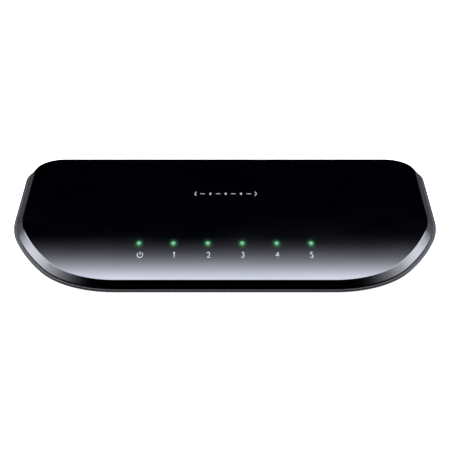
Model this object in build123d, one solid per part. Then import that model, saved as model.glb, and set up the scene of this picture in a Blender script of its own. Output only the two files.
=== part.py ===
from build123d import *
import os
from math import atan2, cos, radians, sin, tan

# Five-port desktop network switch: a wedge-shaped plastic case under a sloping glossy cover.
# Millimetres. +Z is up, the front edge faces -Y, the sockets face +Y, and the origin is the centre of the
# bounding box's bottom face, on the surface that the rubber feet stand on.

# ---- case: overall sizes
LENGTH = 165.0
DEPTH = 108.0
HEIGHT = 28.0
NOSE_HEIGHT = 6.35          # the flat top's plane above the table at the nose; its back edge is at HEIGHT
WALL = 2.0
FIT_GAP = 0.25              # between the cover's tongue and the tray's wall

# ---- cover and rim, drawn in the sloping plane: u across, v up the slope, w along the normal
RIM_REACH = 3.35            # rim beyond the flat top, at the sides and the front
RIM_REACH_BACK = 2.5
SIDE_ARC_R, SIDE_ARC_TURN = 44.0, 19.2
FLANK_ARC_R = 102.7         # turns what the other two arcs leave of a right angle
NOSE_ARC_R, NOSE_ARC_TURN = 30.7, 56.5
BACK_CORNER_R = 11.5         # of the flat top; the bevel's foot and the rim turn more widely
BEVEL_CORNER_MORE, RIM_CORNER_MORE = 2.9, 3.65
COVER_T = 2.1
BEVEL_REACH, BEVEL_DROP = 2.1, 1.7
NOSE_SETBACK = 0.8          # the bevel is this much wider along the front
EDGE_BEAD_R = 0.6
STEP_REACH = 1.4            # the step under the bevel that leaves the shadow gap
RIM_T_FRONT, RIM_T_BACK = 0.85, 2.0     # the rim under the cover's edge
RIM_DROP_FRONT, RIM_DROP_BACK = COVER_T + RIM_T_FRONT, COVER_T + RIM_T_BACK
RIM_ROUND = 0.35
TONGUE_T, TONGUE_DROP = 1.2, 1.6

# ---- tray
FOOT_STANDS = 1.2           # floor of the tray above the table
SIDE_INSET = 2.6            # tray wall inside the rim
FRONT_INSET = 9.5
REAR_INSET = 2.5
FLOOR_EDGE = 0.8            # chamfer round the underside

# ---- feet, label, keyholes, vents
FOOT_R, FOOT_RECESS, FOOT_CLEAR = 5.0, 1.0, 0.15
FRONT_FOOT_IN = (32.5, 23.0)    # in from the case's side and its front edge
REAR_FOOT_IN = (26.5, 12.0)     # in from the side and the back edge
LABEL_SIZE, LABEL_IN, LABEL_RECESS, LABEL_T, LABEL_GAP = (60.0, 22.0), 36.0, 0.2, 0.12, 0.3
KEYHOLE_SPACING, KEYHOLE_IN, KEYHOLE_R = 76.0, 30.0, 3.5
KEYHOLE_SLOT_W, KEYHOLE_SLOT_L = 3.6, 8.0
VENT_COUNT, VENT_PITCH, VENT_W, VENT_L = 12, 5.0, 1.6, 18.0
SIDE_VENT_COUNT, SIDE_VENT_PITCH, SIDE_VENT_W, SIDE_VENT_H = 9, 3.6, 1.5, 7.0
SIDE_VENT_IN, SIDE_VENT_UP = 21.0, 2.8     # the rearmost slot's middle from the back edge, and above the floor

# ---- circuit board
BOARD_T = 1.6
BOARD_GAP = 2.4             # floor to board, for the soldered tails and a wall screw's head
BOARD_SIDE = 8.0            # board beyond the power inlet
BOARD_WALL_GAP = 1.5        # between the board and the rear wall
BOARD_POST_GAP = (8.1, 5.1) # between the board's front tongue and the front screw posts, across and along
BOARD_LAMP_EDGE = 5.6       # board in front of the lamps
BOARD_SCREW_IN = (7.0, 6.0) # the front pair, in from the board's wide front corners
BOARD_REAR_SCREW_IN = ((4.0, 22.5), (4.0, 18.5))    # left and right, in from the side and the sockets' faces
BOARD_SCREW_R, BOARD_SCREW_HEAD_R, BOARD_SCREW_HEAD_H = 1.2, 2.2, 1.4
STANDOFF_R = 3.0

# ---- case screws, up from below through the tray into the cover's posts
FRONT_SCREW_IN = (25.0, 32.5)   # in from the case's side and its front edge
REAR_SCREW_IN = (11.5, 18.0)    # in from the side and the back edge
CASE_SCREW_R, CASE_SCREW_HEAD_R, CASE_SCREW_HEAD_H = 1.3, 2.4, 1.5
SCREW_SEAT_Z, POST_JOIN_Z, SCREW_BITE = 3.7, 6.4, 3.0
POST_R, CLEAR = 3.4, 0.1
CROSS_W, CROSS_DEPTH = 0.6, 0.9

# ---- sockets
JACK_W, JACK_D, JACK_H = 15.4, 20.0, 13.2
JACK_GAP, PORT_MID_X, PORT_COUNT = 2.4, -9.0, 5
PORT_PITCH = JACK_W + JACK_GAP
WINDOW_GAP = 0.3
SOCKET_W, SOCKET_LOW, SOCKET_HIGH, SOCKET_D = 11.8, 3.6, 10.6, 14.0
LATCH_W, LATCH_LOW, LATCH_D = 6.2, 2.3, 11.0
CATCH_W, CATCH_LOW = 3.4, 1.2
WELL_W, WELL_HIGH, WELL_LIP = 9.2, 12.2, 2.2
WIRE_COUNT, WIRE_PITCH, WIRE_W, WIRE_T = 8, 1.02, 0.35, 0.3
GROOVE_W = 0.5
WIRE_PIVOT_IN, WIRE_PIVOT_UP, WIRE_SPAN, WIRE_DIP = 2.9, 11.65, 12.4, 16.0
WIRE_EYE_R = 0.28
COMB_D = 2.2
TAIL_INNER, TAIL_OUTER = 17.3, 19.75
TAIL_BELOW, TAIL_T = 1.0, 0.35
PEG_R, PEG_X, PEG_Y = 1.6, 5.6, 8.0

# ---- power inlet
INLET_W, INLET_D, INLET_H, INLET_AXIS_UP = 9.0, 14.4, 11.0, 6.5
INLET_GAP = 12.7            # between the last socket and the inlet
INLET_X = PORT_MID_X + (PORT_COUNT - 1) / 2 * PORT_PITCH + JACK_W / 2 + INLET_GAP + INLET_W / 2
INLET_BORE_R, INLET_BORE_D, INLET_PIN_R, INLET_PIN_SHY = 3.15, 9.6, 1.0, 0.8
INLET_FLANGE_R = 1.6
LEAF_W, LEAF_T, LEAF_PIVOT_IN, LEAF_PIVOT_UP, LEAF_SPAN, LEAF_RISE = 2.4, 0.3, 11.5, 2.6, 9.3, 6.9

# ---- indicators
LAMP_NAMES = ("power", "1", "2", "3", "4", "5")
LAMP_PITCH, LAMP_IN = 13.0, 28.6    # LAMP_IN is from the flat top's front edge, up the slope
PIPE_R, PIPE_DOME, PIPE_COLLAR_R, PIPE_COLLAR_T = 1.0, 0.5, 1.8, 0.8
LED_W, LED_D, LED_H = 2.0, 1.25, 0.8

# ---- switching chip and its heat sink
CHIP_X, CHIP_IN, CHIP_SIDE, CHIP_T, CHIP_STAND = 8.0, 47.5, 14.0, 1.4, 0.1   # CHIP_IN is from the sockets' faces
CHIP_LEADS, CHIP_LEAD_PITCH, CHIP_LEAD_W = 16, 0.8, 0.3
PAD_SIDE, PAD_T = 12.0, 0.5
SINK_SIDE, SINK_BASE, SINK_GAP, SINK_FINS, FIN_T = 18.0, 1.3, 0.9, 7, 0.9   # SINK_GAP is left under the cover

# ---- magnetics, one per socket
COIL_W, COIL_D, COIL_H, COIL_GAP = 15.2, 7.1, 5.6, 3.35    # COIL_GAP is between sockets and magnetics
COIL_LEADS, COIL_LEAD_PITCH = 12, 1.1
COIL_RESISTOR_GAP = 3.65    # in front of the magnetics

# ---- supply and clock, placed from the chip's middle or from the sockets' faces
SUPPLY_XS = (38.0, 50.0)
INDUCTOR_SIDE, INDUCTOR_H, INDUCTOR_BACK = 7.0, 3.5, 7.0
REGULATOR_FRONT, OUTPUT_CAN_FRONT, OUTPUT_CAN_R, OUTPUT_CAN_H = 1.5, 10.0, 3.15, 5.4
MEMORY_X, CRYSTAL_X, CRYSTAL_FRONT = -26.0, -12.0, 12.0
INPUT_CAN_AT, INPUT_CAN_R, INPUT_CAN_H = (51.5, 26.0), 4.0, 11.0
FUSE_AT, FUSE_SIZE = (38.5, 17.5), (4.5, 3.2, 1.2)
DIODE_AT, DIODE_SIZE = (60.0, 29.5), (2.6, 4.3, 2.2)
DISC_GAP, DISC_IN, DISC_R, DISC_T, DISC_UP = 6.7, 11.5, 3.4, 2.8, 4.2    # DISC_GAP is beside the first socket
DISC_AT = (PORT_MID_X - (PORT_COUNT - 1) / 2 * PORT_PITCH - JACK_W / 2 - DISC_GAP, DISC_IN)
DISC_LEG_X, DISC_LEG_R = 2.0, 0.3

# ---- derived places
TILT = 0.0
for _ in range(30):         # the slope that takes the flat top from NOSE_HEIGHT to HEIGHT within DEPTH
    s, c = sin(TILT), cos(TILT)
    run = DEPTH - (RIM_REACH + RIM_REACH_BACK) * c - (RIM_DROP_BACK - COVER_T) * s + 2 * RIM_ROUND * (c + s - 1)
    TILT = atan2(HEIGHT - NOSE_HEIGHT, run)
TOP_HALF_D = run / c / 2
TOP_HALF_W = LENGTH / 2 - RIM_REACH
ROUND_LOSS = RIM_ROUND * (c + s - 1)
BEAD_LOSS = EDGE_BEAD_R * (tan(atan2(BEVEL_DROP, BEVEL_REACH) / 2) * s - (1 - c))
PLATE_Y = DEPTH / 2 + ROUND_LOSS - RIM_DROP_BACK * s - (TOP_HALF_D + RIM_REACH_BACK) * c
PLATE_Z = HEIGHT + BEAD_LOSS - TOP_HALF_D * s
SLOPE = Plane(origin=(0, PLATE_Y, PLATE_Z), x_dir=(1, 0, 0), z_dir=(0, -s, c))
FLOOR_TOP = FOOT_STANDS + WALL
BOARD_LOW = FLOOR_TOP + BOARD_GAP
BOARD_TOP = BOARD_LOW + BOARD_T
REAR_FACE = DEPTH / 2 - REAR_INSET
TAIL_LOW = -(BOARD_T + TAIL_BELOW)
CHIP_AT = (CHIP_X, REAR_FACE - CHIP_IN)
COIL_Y = REAR_FACE - JACK_D - COIL_GAP - COIL_D / 2
LAMP_V = LAMP_IN - TOP_HALF_D
LAMP_Y = PLATE_Y + LAMP_V * c
PORT_XS = [PORT_MID_X + (i - (PORT_COUNT - 1) / 2) * PORT_PITCH for i in range(PORT_COUNT)]
LAMP_US = [(i - (len(LAMP_NAMES) - 1) / 2) * LAMP_PITCH for i in range(len(LAMP_NAMES))]
WIRE_XS = [(i - (WIRE_COUNT - 1) / 2) * WIRE_PITCH for i in range(WIRE_COUNT)]
FAR = 4 * max(LENGTH, DEPTH)


def both_sides(inward, from_front):
    """A mirrored pair of places, in from the case's sides and from its front or back edge."""
    x, y = LENGTH / 2 - inward[0], DEPTH / 2 - inward[1]
    return [(side * x, -y if from_front else y) for side in (-1, 1)]


CASE_SCREWS = both_sides(FRONT_SCREW_IN, True) + both_sides(REAR_SCREW_IN, False)
FEET = dict(zip(("front_left", "front_right", "rear_left", "rear_right"),
                both_sides(FRONT_FOOT_IN, True) + both_sides(REAR_FOOT_IN, False)))
BOARD_HALF_W = INLET_X + INLET_W / 2 + BOARD_SIDE
BOARD_BACK = REAR_FACE - WALL - BOARD_WALL_GAP
BOARD_STEP_Y = CASE_SCREWS[1][1] + POST_R + BOARD_POST_GAP[1]
TONGUE_HALF_W = CASE_SCREWS[1][0] - POST_R - BOARD_POST_GAP[0]
BOARD_FRONT = LAMP_Y - BOARD_LAMP_EDGE
BOARD_SCREWS = [(side * (BOARD_HALF_W - BOARD_SCREW_IN[0]), BOARD_STEP_Y + BOARD_SCREW_IN[1]) for side in (-1, 1)]
BOARD_SCREWS += [(side * (BOARD_HALF_W - x), REAR_FACE - y) for side, (x, y) in zip((-1, 1), BOARD_REAR_SCREW_IN)]


def block(xs, ys, zs):
    """A box from its lowest and highest x, y and z."""
    middle = [sum(pair) / 2 for pair in (xs, ys, zs)]
    return Pos(*middle) * Box(xs[1] - xs[0], ys[1] - ys[0], zs[1] - zs[0])


def centred(x, y, width, depth, zs):
    """An upright box centred on x, y."""
    return block((x - width / 2, x + width / 2), (y - depth / 2, y + depth / 2), zs)


def rod(x, y, low, high, radius):
    """An upright cylinder."""
    return Pos(x, y, (low + high) / 2) * Cylinder(radius, high - low)


def rod_along_y(x, z, back, front, radius):
    """A cylinder lying along Y."""
    return Pos(x, (back + front) / 2, z) * Rot(90, 0, 0) * Cylinder(radius, front - back)


def rod_along_x(xs, y, z, radius):
    """A cylinder lying along X."""
    return Pos(sum(xs) / 2, y, z) * Rot(0, 90, 0) * Cylinder(radius, xs[1] - xs[0])


def outline(half_width, front, back, grow, corner_more=0.0):
    """The case's plan: straight back, sides and nose, three arcs to each front corner.

    grow offsets every radius, and corner_more widens the two back corners alone.
    """
    radii = (SIDE_ARC_R + grow, FLANK_ARC_R + grow, NOSE_ARC_R + grow)
    turns = (0.0, SIDE_ARC_TURN, 90.0 - NOSE_ARC_TURN, 90.0)
    forward = sum(r * (sin(radians(b)) - sin(radians(a))) for r, a, b in zip(radii, turns, turns[1:]))
    x, y = half_width, front + forward
    corner = BACK_CORNER_R + grow + corner_more
    edges = [
        Line((x, y), (x, back - corner)),
        CenterArc((x - corner, back - corner), corner, 0, 90),
        Line((x - corner, back), (0, back)),
    ]
    for r, a, b in zip(radii, turns, turns[1:]):
        middle = (x - r * cos(radians(a)), y + r * sin(radians(a)))
        edges.append(CenterArc(middle, r, -a, a - b))
        x = middle[0] + r * cos(radians(b))
        y = middle[1] - r * sin(radians(b))
    edges.append(Line((x, y), (0, front)))
    edges += [edge.mirror(Plane.YZ) for edge in edges]
    return make_face(edges)


def cover_outline(reach, reach_back=None, corner_more=0.0, setback=0.0):
    """An outline in the sloping plane, reach beyond the flat top."""
    behind = reach if reach_back is None else reach_back
    front = -TOP_HALF_D - reach + setback
    return outline(TOP_HALF_W + reach, front, TOP_HALF_D + behind, reach, corner_more)


def wall_outline(inside):
    """An outline in plan, inside the tray wall's outer face by that much."""
    front = -DEPTH / 2 + FRONT_INSET + inside
    grow = RIM_REACH - SIDE_INSET - inside
    return outline(LENGTH / 2 - SIDE_INSET - inside, front, REAR_FACE - inside, grow)


def upright(face, low, high):
    """A plan face extruded between two heights."""
    return Pos(0, 0, low) * extrude(face, high - low)


def sloping_slab(low, high):
    """Everything between two depths in the sloping plane."""
    return SLOPE * Pos(0, 0, (low + high) / 2) * Box(FAR, FAR, high - low)


def cross_recess(x, y, z, up):
    """The cross in a screw's head, cut from its face at z into the head: up is +1 for a head seen from below."""
    zs = sorted((z, z + up * CROSS_DEPTH))
    arm = CASE_SCREW_HEAD_R * 1.1
    return centred(x, y, arm, CROSS_W, zs) + centred(x, y, CROSS_W, arm, zs)


def top_cover():
    """Flat glossy top with a flared bevel, a locating tongue, screw posts and six lamp holes."""
    flat = cover_outline(0, setback=NOSE_SETBACK)
    flare = cover_outline(BEVEL_REACH, corner_more=BEVEL_CORNER_MORE)
    shell = loft([flat, Pos(0, 0, -BEVEL_DROP) * flare], ruled=True)
    top_edges = [e for e in shell.edges() if e.center().Z > -0.01 and e.bounding_box().size.Z < 0.01]
    shell = fillet(top_edges, EDGE_BEAD_R)
    foot = cover_outline(STEP_REACH, corner_more=BEVEL_CORNER_MORE)
    step = extrude(Pos(0, 0, -COVER_T) * foot, COVER_T - BEVEL_DROP)
    shell = SLOPE * (shell + step)
    ring = upright(wall_outline(WALL + FIT_GAP), 0, HEIGHT)
    ring -= upright(wall_outline(WALL + FIT_GAP + TONGUE_T), 0, HEIGHT)
    shell += ring & sloping_slab(-COVER_T - TONGUE_DROP, -COVER_T + 0.2)
    under = sloping_slab(-FAR, -COVER_T / 2)
    for x, y in CASE_SCREWS:
        post = rod(x, y, POST_JOIN_Z, HEIGHT, POST_R) & under
        shell += post
    for x, y in CASE_SCREWS:
        shell -= rod(x, y, POST_JOIN_Z, POST_JOIN_Z + SCREW_BITE + 0.3, CASE_SCREW_R + 0.03)
    for u in LAMP_US:
        shell -= SLOPE * rod(u, LAMP_V, -COVER_T - 1, 1, PIPE_R + CLEAR)
    return shell


def rim():
    """The flange round the tray's top edge, thicker towards the back."""
    rise = (RIM_DROP_BACK - RIM_DROP_FRONT) / (2 * TOP_HALF_D + RIM_REACH + RIM_REACH_BACK)
    middle = (RIM_DROP_FRONT + RIM_DROP_BACK) / 2
    centre_v = (RIM_REACH_BACK - RIM_REACH) / 2
    face = cover_outline(RIM_REACH, RIM_REACH_BACK, RIM_CORNER_MORE)
    flange = extrude(Pos(0, 0, -3 * RIM_DROP_BACK) * face, 3 * RIM_DROP_BACK - COVER_T)
    lower = Plane(origin=(0, centre_v, -middle), x_dir=(1, 0, 0), z_dir=(0, rise, 1))
    flange = flange & (lower * Pos(0, 0, FAR / 2) * Box(FAR, FAR, FAR))
    outer = [e for e in flange.edges() if e.bounding_box().size.Z < RIM_DROP_BACK - RIM_DROP_FRONT + 0.1]
    outer = [e for e in outer if e.bounding_box().size.X + e.bounding_box().size.Y > 1]
    return SLOPE * fillet(outer, RIM_ROUND)


def keyhole(x):
    """A wall screw's head hole with its slot towards the front."""
    y = DEPTH / 2 - KEYHOLE_IN
    head = rod(x, y, 0, FLOOR_TOP + 1, KEYHOLE_R)
    slot = centred(x, y - KEYHOLE_SLOT_L / 2, KEYHOLE_SLOT_W, KEYHOLE_SLOT_L, (0, FLOOR_TOP + 1))
    return head + slot + rod(x, y - KEYHOLE_SLOT_L, 0, FLOOR_TOP + 1, KEYHOLE_SLOT_W / 2)


def vents():
    """The slots through the floor, behind the chip's middle, and through both side walls."""
    cuts = []
    for i in range(VENT_COUNT):
        x = (i - (VENT_COUNT - 1) / 2) * VENT_PITCH
        cuts.append(centred(x, CHIP_AT[1] + VENT_L / 4, VENT_W, VENT_L, (0, FLOOR_TOP + 1)))
    low = FLOOR_TOP + SIDE_VENT_UP
    for i in range(SIDE_VENT_COUNT):
        y = DEPTH / 2 - SIDE_VENT_IN - i * SIDE_VENT_PITCH
        cuts.append(centred(0, y, LENGTH, SIDE_VENT_W, (low, low + SIDE_VENT_H)))
    return cuts


def base_tray():
    """Floor, walls, rim, standoffs and screw posts, with windows for the sockets in the rear wall."""
    under_cover = sloping_slab(-FAR, -COVER_T)
    outer = upright(wall_outline(0), FOOT_STANDS, HEIGHT)
    low_edges = [e for e in outer.edges() if e.center().Z < FOOT_STANDS + 0.01]
    outer = chamfer(low_edges, FLOOR_EDGE) & under_cover
    tray = outer + rim() - upright(wall_outline(WALL), FLOOR_TOP, HEIGHT + WALL)
    for x, y in CASE_SCREWS:
        tray += rod(x, y, FLOOR_TOP - 0.5, POST_JOIN_Z, POST_R)
    for x, y in BOARD_SCREWS:
        tray += rod(x, y, FLOOR_TOP - 0.5, BOARD_LOW, STANDOFF_R)
    for x, y in CASE_SCREWS:
        tray -= rod(x, y, 0, SCREW_SEAT_Z, CASE_SCREW_HEAD_R + 2 * CLEAR)
        tray -= rod(x, y, SCREW_SEAT_Z, POST_JOIN_Z, CASE_SCREW_R + 2 * CLEAR)
    for x, y in BOARD_SCREWS:
        tray -= rod(x, y, FOOT_STANDS + 1, BOARD_LOW, BOARD_SCREW_R + 0.03)
    for x, y in FEET.values():
        tray -= rod(x, y, 0, FOOT_STANDS + FOOT_RECESS, FOOT_R + FOOT_CLEAR)
    label = [side + 2 * LABEL_GAP for side in LABEL_SIZE]
    tray -= centred(0, LABEL_IN - DEPTH / 2, *label, (0, FOOT_STANDS + LABEL_RECESS))
    for side in (-1, 1):
        tray -= keyhole(side * KEYHOLE_SPACING / 2)
    for cut in vents():
        tray -= cut
    rear = (REAR_FACE - 2 * WALL, REAR_FACE + 2 * WALL)
    for x in PORT_XS:
        half = JACK_W / 2 + WINDOW_GAP
        tray -= block((x - half, x + half), rear, (BOARD_TOP - WINDOW_GAP, BOARD_TOP + JACK_H + WINDOW_GAP))
    half = INLET_W / 2 + WINDOW_GAP
    tall = (BOARD_TOP - WINDOW_GAP, BOARD_TOP + INLET_H + WINDOW_GAP)
    tray -= block((INLET_X - half, INLET_X + half), rear, tall)
    return tray


def rubber_foot(x, y):
    """A stick-on foot with a rounded tread."""
    foot = rod(x, y, 0, FOOT_STANDS + FOOT_RECESS, FOOT_R)
    return fillet([e for e in foot.edges() if e.center().Z < 0.01], 0.4)


def case_screw(x, y):
    """A pan-head screw that points up, its head in the tray's counterbore."""
    head = rod(x, y, SCREW_SEAT_Z - CASE_SCREW_HEAD_H, SCREW_SEAT_Z, CASE_SCREW_HEAD_R)
    shank = rod(x, y, SCREW_SEAT_Z, POST_JOIN_Z + SCREW_BITE, CASE_SCREW_R)
    return head + shank - cross_recess(x, y, SCREW_SEAT_Z - CASE_SCREW_HEAD_H, 1)


def board_screw(x, y):
    """A pan-head screw that points down, its head on the board."""
    head = rod(x, y, BOARD_TOP, BOARD_TOP + BOARD_SCREW_HEAD_H, BOARD_SCREW_HEAD_R)
    shank = rod(x, y, FOOT_STANDS + 1.4, BOARD_TOP, BOARD_SCREW_R)
    return head + shank - cross_recess(x, y, BOARD_TOP + BOARD_SCREW_HEAD_H, -1)


def tail_y(index):
    """How far in from the socket's face a contact's solder tail goes down: in two staggered rows."""
    return -TAIL_INNER if index % 2 else -TAIL_OUTER


def jack_housing():
    """A side-entry eight-contact socket: face at y 0, board at z 0, latch notch below, contacts above."""
    body = block((-JACK_W / 2, JACK_W / 2), (-JACK_D, 0), (0, JACK_H))
    body -= block((-SOCKET_W / 2, SOCKET_W / 2), (-SOCKET_D, 1), (SOCKET_LOW, SOCKET_HIGH))
    body -= block((-LATCH_W / 2, LATCH_W / 2), (-LATCH_D, 1), (LATCH_LOW, SOCKET_LOW + 0.1))
    body -= block((-CATCH_W / 2, CATCH_W / 2), (-LATCH_D, 1), (CATCH_LOW, LATCH_LOW + 0.1))
    body -= block((-WELL_W / 2, WELL_W / 2), (-SOCKET_D, -WELL_LIP), (SOCKET_HIGH - 0.1, WELL_HIGH))
    mouth = [e for e in body.edges() if abs(e.center().Y) < 0.01 and abs(e.center().X) < JACK_W / 2 - 1]
    mouth = [e for e in mouth if SOCKET_LOW + 1 < e.center().Z < JACK_H - 1]
    body = chamfer(mouth, 0.4)
    for index, x in enumerate(WIRE_XS):
        across = (x - GROOVE_W / 2, x + GROOVE_W / 2)
        tail = tail_y(index)
        body -= block(across, (-SOCKET_D - COMB_D, -SOCKET_D + 0.1), (SOCKET_LOW + 3.4, WELL_HIGH))
        body -= block(across, (tail - TAIL_T, -WIRE_PIVOT_IN + TAIL_T), (JACK_H - 2 * TAIL_T, JACK_H + 1))
        body -= block(across, (-WIRE_PIVOT_IN - TAIL_T, -WIRE_PIVOT_IN + TAIL_T), (WELL_HIGH - 0.1, JACK_H + 1))
        body -= block(across, (tail - TAIL_T, tail + TAIL_T), (-1, JACK_H + 1))
    for side in (-1, 1):
        body += rod(side * PEG_X, -PEG_Y, -BOARD_T - 0.4, 0.3, PEG_R)
    return body


def jack_contacts():
    """The eight spring wires that bear on a plug, hinged where they bend under the socket's roof."""
    wires = []
    for x in WIRE_XS:
        across = (x - WIRE_W / 2, x + WIRE_W / 2)
        leg = block(across, (-WIRE_SPAN, 0), (-WIRE_T / 2, WIRE_T / 2)) + rod_along_x(across, 0, 0, WIRE_EYE_R)
        wires.append(Pos(0, -WIRE_PIVOT_IN, WIRE_PIVOT_UP) * Rot(WIRE_DIP, 0, 0) * leg)
    return wires


def jack_tails():
    """The fixed halves of the contacts: along the socket's roof and down through the board."""
    tails = []
    top = (JACK_H - 2 * TAIL_T, JACK_H - TAIL_T)
    for index, x in enumerate(WIRE_XS):
        across = (x - WIRE_W / 2, x + WIRE_W / 2)
        end = tail_y(index)
        run = block(across, (end - TAIL_T / 2, -WIRE_PIVOT_IN + TAIL_T / 2), top)
        drop = block(across, (end - TAIL_T / 2, end + TAIL_T / 2), (TAIL_LOW, top[1]))
        root_low = WIRE_PIVOT_UP + WIRE_EYE_R + 0.05
        root = block(across, (-WIRE_PIVOT_IN - TAIL_T / 2, -WIRE_PIVOT_IN + TAIL_T / 2), (root_low, top[1]))
        tails.append(run + drop + root)
    return tails


def at_port(x, shapes):
    """Moves a socket's shapes to its place on the board."""
    return [Pos(x, REAR_FACE, BOARD_TOP) * shape for shape in shapes]


def at_inlet(shape):
    """Moves a power inlet's shape, drawn with its face at y 0 and the board at z 0, to its place."""
    return Pos(INLET_X, REAR_FACE, BOARD_TOP) * shape


def inlet_housing():
    """The barrel inlet's moulding, with a slot under the bore for the spring leaf."""
    body = block((-INLET_W / 2, INLET_W / 2), (-INLET_D, 0), (0, INLET_H))
    shoulders = [e for e in body.edges() if e.center().Z > INLET_H - 0.01 and abs(e.center().X) > INLET_W / 2 - 0.01]
    body = fillet(shoulders, 1.5)
    body -= rod_along_y(0, INLET_AXIS_UP, -INLET_BORE_D, 1, INLET_BORE_R)
    body -= rod_along_y(0, INLET_AXIS_UP, -INLET_D - 1, 0, INLET_FLANGE_R + 0.02)
    slot_w = LEAF_W / 2 + 0.3
    body -= block((-slot_w, slot_w), (-LEAF_PIVOT_IN - 1, -1.2), (1.2, INLET_AXIS_UP - INLET_BORE_R + 0.6))
    body -= block((-LEAF_W / 2, LEAF_W / 2), (-LEAF_PIVOT_IN - 0.3, -LEAF_PIVOT_IN + 0.3), (-1, 1.3))
    return body


def inlet_pin():
    """The centre pin, stepped where it is pressed into the moulding."""
    pin = rod_along_y(0, INLET_AXIS_UP, -INLET_BORE_D, -INLET_PIN_SHY, INLET_PIN_R)
    pin = fillet([e for e in pin.edges() if e.center().Y > -INLET_PIN_SHY - 0.01], 0.4)
    return pin + rod_along_y(0, INLET_AXIS_UP, -INLET_D, -INLET_BORE_D, INLET_FLANGE_R)


def inlet_leaf():
    """The spring leaf that bears on a plug's barrel."""
    across = (-LEAF_W / 2, LEAF_W / 2)
    leaf = block(across, (0, LEAF_SPAN), (-LEAF_T / 2, LEAF_T / 2)) + rod_along_x(across, 0, 0, WIRE_EYE_R)
    return Pos(0, -LEAF_PIVOT_IN, LEAF_PIVOT_UP) * Rot(LEAF_RISE, 0, 0) * leaf


def inlet_terminals():
    """The blades soldered to the board: one on the pin's tail, one under the leaf."""
    rear = block((-1.2, 1.2), (-INLET_D - 0.5, -INLET_D), (TAIL_LOW, INLET_AXIS_UP + 1.2))
    leaf_top = LEAF_PIVOT_UP - WIRE_EYE_R - 0.1
    blade = block((-1.1, 1.1), (-LEAF_PIVOT_IN - 0.2, -LEAF_PIVOT_IN + 0.2), (TAIL_LOW, leaf_top))
    return [rear, blade]


def circuit_board():
    """The board, narrower in front of the screw posts, drilled for every tail, peg and screw."""
    board = block((-BOARD_HALF_W, BOARD_HALF_W), (BOARD_STEP_Y, BOARD_BACK), (BOARD_LOW, BOARD_TOP))
    board += block((-TONGUE_HALF_W, TONGUE_HALF_W), (BOARD_FRONT, BOARD_STEP_Y), (BOARD_LOW, BOARD_TOP))
    drill = (BOARD_LOW - 1, BOARD_TOP + 1)
    for x, y in BOARD_SCREWS:
        board -= rod(x, y, *drill, BOARD_SCREW_R + 0.2)
    for x in PORT_XS:
        holes = [rod(x + side * PEG_X, REAR_FACE - PEG_Y, *drill, PEG_R + CLEAR) for side in (-1, 1)]
        holes += [rod(x + wire, REAR_FACE + tail_y(i), *drill, 0.42) for i, wire in enumerate(WIRE_XS)]
        board -= holes
    for y, half in ((REAR_FACE - INLET_D - 0.25, 0.4), (REAR_FACE - LEAF_PIVOT_IN, 0.35)):
        board -= centred(INLET_X, y, 2.8, 2 * half, drill)
    for side in (-1, 1):
        board -= rod(DISC_AT[0] + side * DISC_LEG_X, REAR_FACE - DISC_AT[1], *drill, DISC_LEG_R + CLEAR)
    return board


def lamp_place(u):
    """Where a light pipe's lower end is, in plan, and its height."""
    foot = SLOPE.from_local_coords(Vector(u, LAMP_V, 0))
    length = (foot.Z - BOARD_TOP - LED_H - 0.5) / c
    low = SLOPE.from_local_coords(Vector(u, LAMP_V, -length))
    return low, length


def light_pipe(u):
    """A clear rod through the cover, domed on top, with a collar against the cover's underside."""
    length = lamp_place(u)[1]
    pipe = rod(u, LAMP_V, -length, PIPE_DOME, PIPE_R)
    pipe += rod(u, LAMP_V, -COVER_T - PIPE_COLLAR_T, -COVER_T, PIPE_COLLAR_R)
    top = [e for e in pipe.edges() if e.center().Z > PIPE_DOME - 0.01]
    return SLOPE * fillet(top, PIPE_DOME * 0.9)


def indicator_led(u):
    """A surface-mounted lamp on the board, under its light pipe."""
    low = lamp_place(u)[0]
    base = centred(low.X, low.Y, LED_W, LED_D, (BOARD_TOP, BOARD_TOP + LED_H / 2))
    return base + centred(low.X, low.Y, LED_W * 0.6, LED_D, (BOARD_TOP + LED_H / 2, BOARD_TOP + LED_H))


def gull_lead(width, reach, height, thick=0.2):
    """A lead that leaves a body at y 0, steps down and ends in a foot on the board at z 0, pointing to +Y."""
    shoulder = reach * 0.35
    shape = block((-width / 2, width / 2), (0, shoulder + thick), (height, height + thick))
    shape += block((-width / 2, width / 2), (shoulder, shoulder + thick), (0, height + thick))
    return shape + block((-width / 2, width / 2), (shoulder, reach), (0, thick))


def switch_chip():
    """The chip's moulded body, with its pin-one dimple."""
    low = BOARD_TOP + CHIP_STAND
    body = centred(*CHIP_AT, CHIP_SIDE, CHIP_SIDE, (low, low + CHIP_T))
    return chamfer(body.edges().filter_by(Axis.Z), 0.5)


def switch_chip_leads():
    """Sixteen leads along each side of the chip."""
    leads = []
    lead = gull_lead(CHIP_LEAD_W, 1.1, CHIP_STAND + CHIP_T / 2)
    for side in range(4):
        for i in range(CHIP_LEADS):
            along = (i - (CHIP_LEADS - 1) / 2) * CHIP_LEAD_PITCH
            leads.append(Pos(*CHIP_AT, BOARD_TOP) * Rot(0, 0, 90 * side) * Pos(along, CHIP_SIDE / 2, 0) * lead)
    return leads


def heat_sink():
    """A finned block on the chip's thermal pad."""
    low = BOARD_TOP + CHIP_STAND + CHIP_T + PAD_T
    front = CHIP_AT[1] - SINK_SIDE / 2
    under_cover = PLATE_Z + ((front - PLATE_Y) * s - COVER_T) / c
    sink = centred(*CHIP_AT, SINK_SIDE, SINK_SIDE, (low, low + SINK_BASE))
    for i in range(SINK_FINS):
        x = CHIP_AT[0] + (i / (SINK_FINS - 1) - 0.5) * (SINK_SIDE - FIN_T)
        sink += centred(x, CHIP_AT[1], FIN_T, SINK_SIDE, (low + SINK_BASE, under_cover - SINK_GAP))
    return sink


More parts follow.
